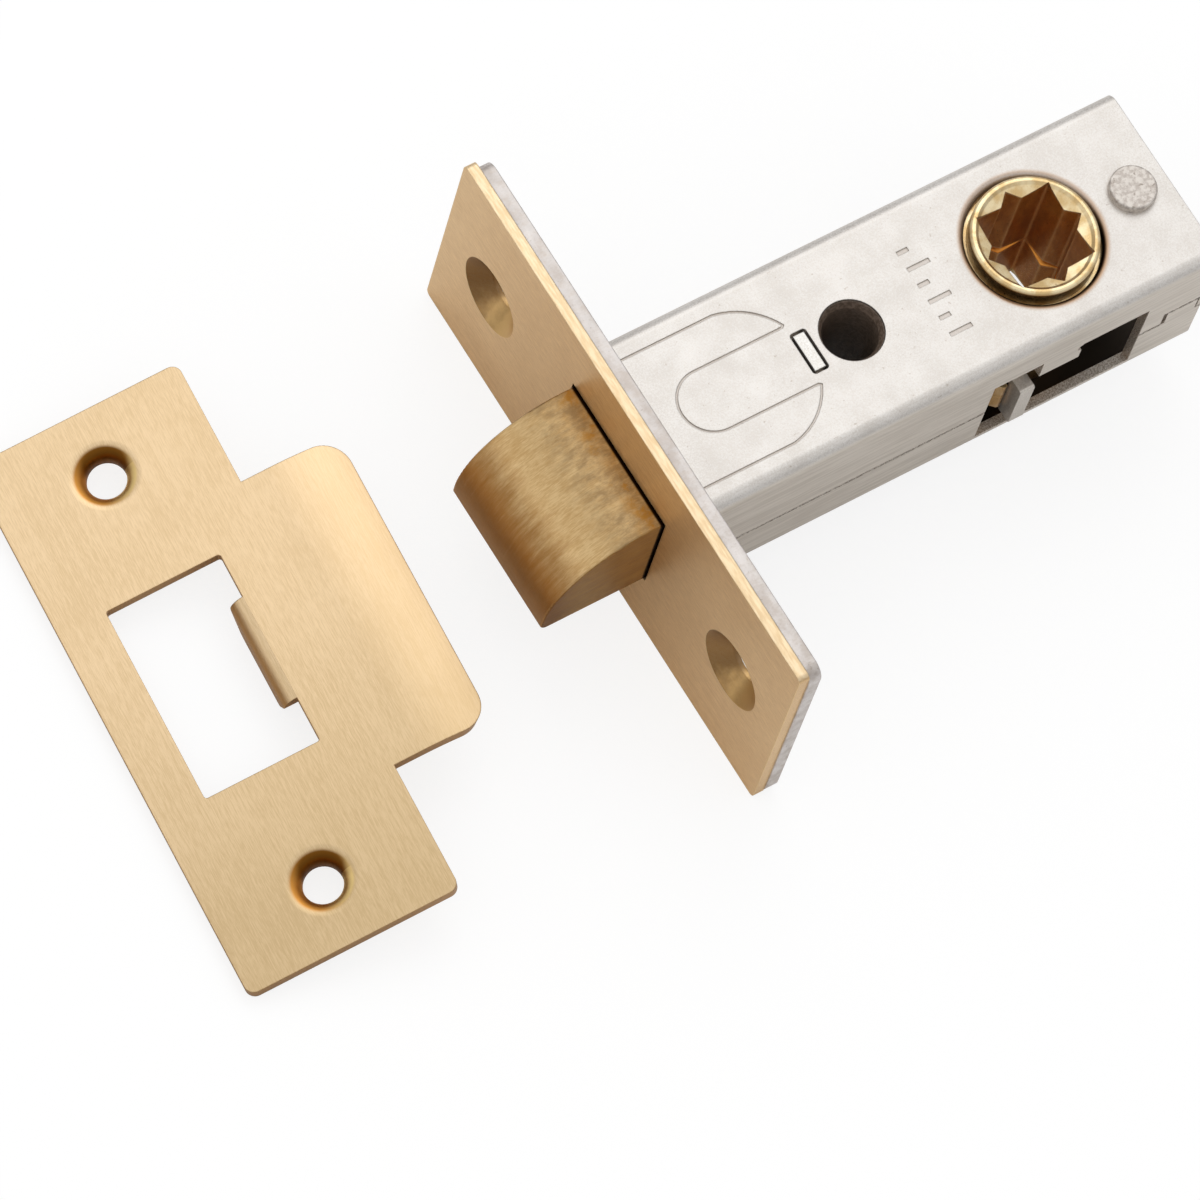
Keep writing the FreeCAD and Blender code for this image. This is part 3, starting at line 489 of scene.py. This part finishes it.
def cam_brass():
    """Cast follower: a bright dished ring with painted shade on its sides, and brown walls with
    painted highlights on the corners and a painted glint deep in the spindle hole.
    """
    look = Look("cam_brass")
    fine = look.noise(0.16, detail=4.0, rough=0.7)
    base = look.mix(look.ramp(look.noise(1.8, shift=5.0), *CLEAR), CAST_DARK, CAST_LIGHT)
    level = look.off_middle("Z")
    radius = look.from_axis(HUB_X)
    in_hole = look.calc("LESS_THAN", radius, HUB_HOLE_RADIUS)
    below_dish = look.calc("LESS_THAN", level, DISH_FLOOR_Z * MM)
    wall = look.times(look.turned_from(Z_DIR, 0.15, 0.6), in_hole, below_dish)
    streaks = look.noise((0.9, 0.9, 2.2), shift=1.0)
    inside = look.mix(look.ramp(streaks, 0.34, 0.7), HOLE_DARK, HOLE_LIGHT)
    # Painted highlights on the corners of the spindle hole.
    inside = look.mix(look.edges(0.55, 0.01, 0.07), inside, HOLE_CORNER_HIGHLIGHT)
    # Painted glint deep in the spindle hole, where the two halves meet.
    deep = look.fading(level, *(z * MM for z in DEEP_IN_HUB_Z))
    base = look.mix(look.times(deep, in_hole), base, HOLE_GLINT)
    base = look.mix(wall, base, inside)
    outside = look.calc("GREATER_THAN", radius, HUB_HOLE_RADIUS)
    # Painted shade on the side faces outside the spindle hole.
    ring_side = look.turned_from(Z_DIR, 0.1, 0.7, most=0.7)
    base = look.mix(look.times(ring_side, outside), base, CAST_SIDE_SHADE)
    base = look.mix(look.specks(0.4, above=0.68, strength=0.5, shift=9.0), base, CAST_MARK)
    metal = look.ramp(wall, 0.0, 1.0, start=1.0, end=0.7)
    look.surface(base, fine, metal, roughness=(0.26, 0.38), depth_mm=0.006, edge_mm=0.1)
    return look


# ---------------------------------------------------------------- steel and plastic

def zinc(name, light, dark, shine):
    """Zinc-plated strip: pale, finely speckled, with small pits and painted shade in its grooves.
    """
    look = Look(name)
    speckle = look.noise(0.16, detail=4.0, rough=0.7)
    tone = look.weighted(speckle, 0.7, look.noise(4.0, shift=4.0))
    base = look.mix(look.ramp(tone, *CLEAR), dark, light)
    pits = look.specks(0.4, above=0.71, strength=0.45, shift=6.0, rough=0.4)
    base = look.mix(pits, base, ZINC_PIT)
    # Painted shade: darker in grooves and corners.
    base = look.mix(look.times(look.hollows(0.5, 0.3, 0.85), 0.4), base, ZINC_HOLLOW_SHADE)
    roughness = (shine, shine + 0.12)
    look.surface(base, speckle, metal=0.85, roughness=roughness, depth_mm=0.008, edge_mm=0.12)
    return look


def seam(look):
    """The line where the two half shells meet, which steps up at their latch tab."""
    middle, half, soft = (size * MM for size in (SEAM_STEP_X, SEAM_STEP_HALF, SEAM_STEP_SOFT))
    step = look.band(look.along("X"), middle, half, soft)
    height = look.ramp(step, 0.0, 1.0, SEAM_Z * MM, SEAM_STEP_Z * MM)
    return look.band(look.along("Z"), height, SEAM_HALF * MM, SEAM_SOFT * MM)


def stamped(look, face_z):
    """The floors of the shallow stamped marks in the broad faces."""
    depth = look.calc("SUBTRACT", face_z, look.off_middle("Z"))
    floor_of_mark = look.band(depth, STAMP_DEPTH * MM, STAMP_SOFT * MM, STAMP_SOFT * MM)
    return look.times(floor_of_mark, look.squarely(Z_DIR, 0.9, 0.99, most=0.42))


def case_zinc():
    """Drawn side walls darkened by painted shade, torn cut edges, a painted shadow along the seam,
    a painted shadow and painted brass reflection round the hub hole, and painted shade inside.
    """
    look = zinc("case_zinc", CASE_LIGHT, CASE_DARK, 0.38)
    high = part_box("case_front_shell")[1]
    # Painted shade: side walls darker than the faces, with real drawn streaks.
    drawn = look.noise((6.0, 0.3, 0.3), detail=4.0, shift=9.0)
    wall = look.mix(look.ramp(drawn, *MILD), CASE_WALL_DARK, CASE_WALL_LIGHT)
    on_wall = look.squarely(Y_DIR, 0.75, 0.97)
    base = look.mix(look.times(on_wall, 0.85), look.base(), wall)
    torn = look.ramp(look.noise(0.16, rough=0.7, shift=12.0), *MILD)
    cut_edge = look.turned_from(Y_DIR, 0.3, 0.5)
    not_face = look.calc("LESS_THAN", look.off_middle("Z"), high.z - FACE_DEPTH * MM)
    torn = look.mix(torn, TORN_DARK, TORN_LIGHT)
    base = look.mix(look.times(cut_edge, not_face), base, torn)
    # Painted shadow along the seam between the shells, with pale flecks.
    shadowed_seam = look.mix(look.specks(0.3, above=0.5, strength=1.0, shift=15.0), SEAM_SHADOW, SEAM_FLECK)
    base = look.mix(look.times(seam(look), on_wall), base, shadowed_seam)
    base = look.mix(stamped(look, high.z), base, STAMP_GREY)
    radius = look.from_axis(HUB_X)
    # Painted brass reflection and painted shadow round the hub hole, stronger on one side.
    shaded_side = look.ramp(look.leaning(HUB_SHADED_SIDE), -0.6, 0.2, start=0.25)
    reflection = look.fading(radius, *HUB_REFLECTION_RADII, most=0.75)
    base = look.mix(look.times(reflection, shaded_side), base, HUB_BRASS_REFLECTION)
    gap_shadow = look.fading(radius, *HUB_GAP_SHADOW_RADII)
    base = look.mix(look.times(gap_shadow, shaded_side), base, HUB_GAP_SHADOW)
    # Painted shade: the inside of the case is dark.
    within_walls = look.calc("LESS_THAN", look.off_middle("Y"), high.y - CASE_INSIDE * MM)
    within_faces = look.calc("LESS_THAN", look.off_middle("Z"), high.z - CASE_INSIDE * MM)
    base = look.mix(look.times(within_walls, within_faces), base, INSIDE_SHADE)
    look.set(Base_Color=base)
    return look


def sheared_steel():
    """Cut steel edge: soft mottled grey, with faint torn streaks through its thickness."""
    look = Look("sheared_steel")
    torn = look.noise((0.7, 0.5, 0.7), detail=4.0, rough=0.65)
    tone = look.weighted(torn, 0.5, look.noise((1.4, 3.0, 1.4), shift=3.0))
    base = look.mix(look.ramp(tone, *MILD), SHEARED_DARK, SHEARED_LIGHT)
    base = look.mix(look.specks(0.3, above=0.66, strength=0.35, shift=8.0), base, SHEARED_FLECK)
    look.surface(base, torn, metal=0.8, roughness=(0.4, 0.55), depth_mm=0.008, edge_mm=0.2)
    return look


def rivet_steel():
    """Headed rivet with a coarse, sugary plated surface."""
    look = Look("rivet_steel")
    coarse = look.noise(0.5, detail=4.0, rough=0.65)
    base = look.mix(look.ramp(coarse, *CLEAR), RIVET_DARK, RIVET_LIGHT)
    base = look.mix(look.specks(0.5, above=0.64, strength=0.6, shift=4.0), base, RIVET_PIT)
    look.surface(base, coarse, metal=0.85, roughness=(0.38, 0.55), depth_mm=0.03, edge_mm=0.2)
    return look


def spring_wire():
    look = Look("spring_wire")
    streaks = look.noise((0.2, 0.9, 0.9))
    base = look.mix(look.ramp(streaks, *CRISP), WIRE_DARK, WIRE_LIGHT)
    look.surface(base, streaks, metal=1.0, roughness=(0.25, 0.4), depth_mm=0.01)
    return look


def black_nylon():
    look = Look("black_nylon")
    mould = look.noise(0.3, detail=4.0, rough=0.6)
    base = look.mix(look.ramp(mould, *CRISP), NYLON_DARK, NYLON_LIGHT)
    look.surface(base, mould, metal=0.0, roughness=(0.4, 0.55), depth_mm=0.01, edge_mm=0.2)
    return look


def dress():
    paint(strike_brass(), "strike_plate")
    paint(cover_brass(), "forend_cover")
    paint(bolt_brass(), "latch_bolt")
    paint(sheared_steel(), "forend_plate")
    paint(case_zinc(), "case_front_shell", "case_back_shell")
    paint(zinc("plate_zinc", STOP_LIGHT, STOP_DARK, 0.3), "spring_stop_plate", "rivet_spacer")
    paint(zinc("bar_zinc", BAR_LIGHT, BAR_DARK, 0.4), "tail_bar_left", "tail_bar_right")
    paint(rivet_steel(), "rear_rivet", "tail_rivets")
    paint(cam_brass(), "cam_front", "cam_back")
    paint(spring_wire(), "bolt_spring", "return_spring")
    paint(black_nylon(), "fixing_sleeve")


# ---------------------------------------------------------------- springs

def coil(node):
    """Stands for a CAD spring: a copy of its mesh, hung from the case body."""
    spring = bpy.data.objects.new(node + "_coil", nodes[node].data.copy())
    bpy.context.scene.collection.objects.link(spring)
    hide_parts(node)
    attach(spring, "case")
    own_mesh(spring)


# ---------------------------------------------------------------- studio

BENCH_SIZE = 6.0
BENCH_DROP = 0.05 * MM
BENCH_LIGHT, BENCH_DARK, BENCH_SEEN = (250, 250, 250), (246, 246, 246), (128, 128, 128)
BENCH_GLOW = 0.82

HORIZON = (0.36, 0.36, 0.37, 1.0)
OVERHEAD = (1.0, 1.0, 1.0, 1.0)
OVERHEAD_FROM = 0.75
SKY_STRENGTH = 0.81

# Name, place in metres, size in metres and power in watts.
LIGHTS = (
    ("key", (0.25, 0.45, 0.75), (0.6, 0.6), 1.2),
    ("fill", (-0.95, 0.3, 0.36), (0.7, 0.3), 0.5),
)

VIEW_AIM_MM = (-6.93, -9.65, 0.0)
VIEW_HEADING = 40.3
VIEW_ELEVATION = 64.03
VIEW_ROLL = 19.94
VIEW_DISTANCE = 0.8612
VIEW_LENS = 284.6
VIEW_CLIP_START = 0.01


def floor():
    """Plain pale bench just under both pieces, which can be seen through from below."""
    place = (0, 0, cad_box[0].z - BENCH_DROP)
    bpy.ops.mesh.primitive_plane_add(size=BENCH_SIZE, location=place)
    plane = bpy.context.object
    plane.name = "bench"
    look = Look("bench_white")
    pale = look.mix(look.noise(60.0, detail=2.0), BENCH_DARK, BENCH_LIGHT)
    seen = look.add("ShaderNodeLightPath").outputs["Is Camera Ray"]
    behind = look.add("ShaderNodeNewGeometry").outputs["Backfacing"]
    look.set(Base_Color=look.mix(seen, pale, BENCH_SEEN), Roughness=1.0, Specular_IOR_Level=0.0)
    look.set(Emission_Color=(1.0, 1.0, 1.0, 1.0), Emission_Strength=look.times(seen, BENCH_GLOW))
    look.set(Alpha=look.calc("SUBTRACT", 1.0, behind))
    plane.data.materials.append(look.material)


def sky():
    """Soft surround: bright overhead, greyer towards the horizon."""
    world = bpy.data.worlds.new("studio")
    bpy.context.scene.world = world
    world.use_nodes = True
    tree = world.node_tree
    surround = tree.nodes["Background"]
    direction = tree.nodes.new("ShaderNodeTexCoord")
    split = tree.nodes.new("ShaderNodeSeparateXYZ")
    shade = tree.nodes.new("ShaderNodeValToRGB")
    tree.links.new(direction.outputs["Generated"], split.inputs["Vector"])
    tree.links.new(split.outputs["Z"], shade.inputs["Fac"])
    tree.links.new(shade.outputs["Color"], surround.inputs["Color"])
    bottom, top = shade.color_ramp.elements
    bottom.position, bottom.color = 0.0, HORIZON
    top.position, top.color = OVERHEAD_FROM, OVERHEAD
    surround.inputs["Strength"].default_value = SKY_STRENGTH


def softbox(name, place, size, power):
    """A rectangular light that faces the origin."""
    light = bpy.data.lights.new(name, "AREA")
    light.shape = "RECTANGLE"
    light.size, light.size_y = size
    light.energy = power
    box = bpy.data.objects.new(name, light)
    box.location = place
    box.rotation_euler = (-Vector(place)).to_track_quat("-Z", "Y").to_euler()
    bpy.context.scene.collection.objects.link(box)


def camera():
    """Looks down on the latch from in front of the bolt; the frame crops both pieces' ends."""
    heading = math.radians(VIEW_HEADING)
    rise = math.radians(VIEW_ELEVATION)
    level = Vector((math.cos(heading), math.sin(heading), 0)) * math.cos(rise)
    ahead = level - Vector(Z_DIR) * math.sin(rise)
    lens = bpy.data.cameras.new("photo_view")
    lens.lens = VIEW_LENS
    lens.clip_start = VIEW_CLIP_START
    eye = bpy.data.objects.new("photo_view", lens)
    eye.location = Vector(VIEW_AIM_MM) * MM - ahead * VIEW_DISTANCE
    upright = ahead.to_track_quat("-Z", "Y").to_matrix()
    roll = Matrix.Rotation(math.radians(VIEW_ROLL), 3, "Z")
    eye.rotation_euler = (upright @ roll).to_euler()
    bpy.context.scene.collection.objects.link(eye)
    bpy.context.scene.camera = eye


dress()
for name in ("bolt_spring", "return_spring"):
    coil(name)
floor()
sky()
for settings in LIGHTS:
    softbox(*settings)
camera()
bpy.context.scene.view_settings.view_transform = "Standard"
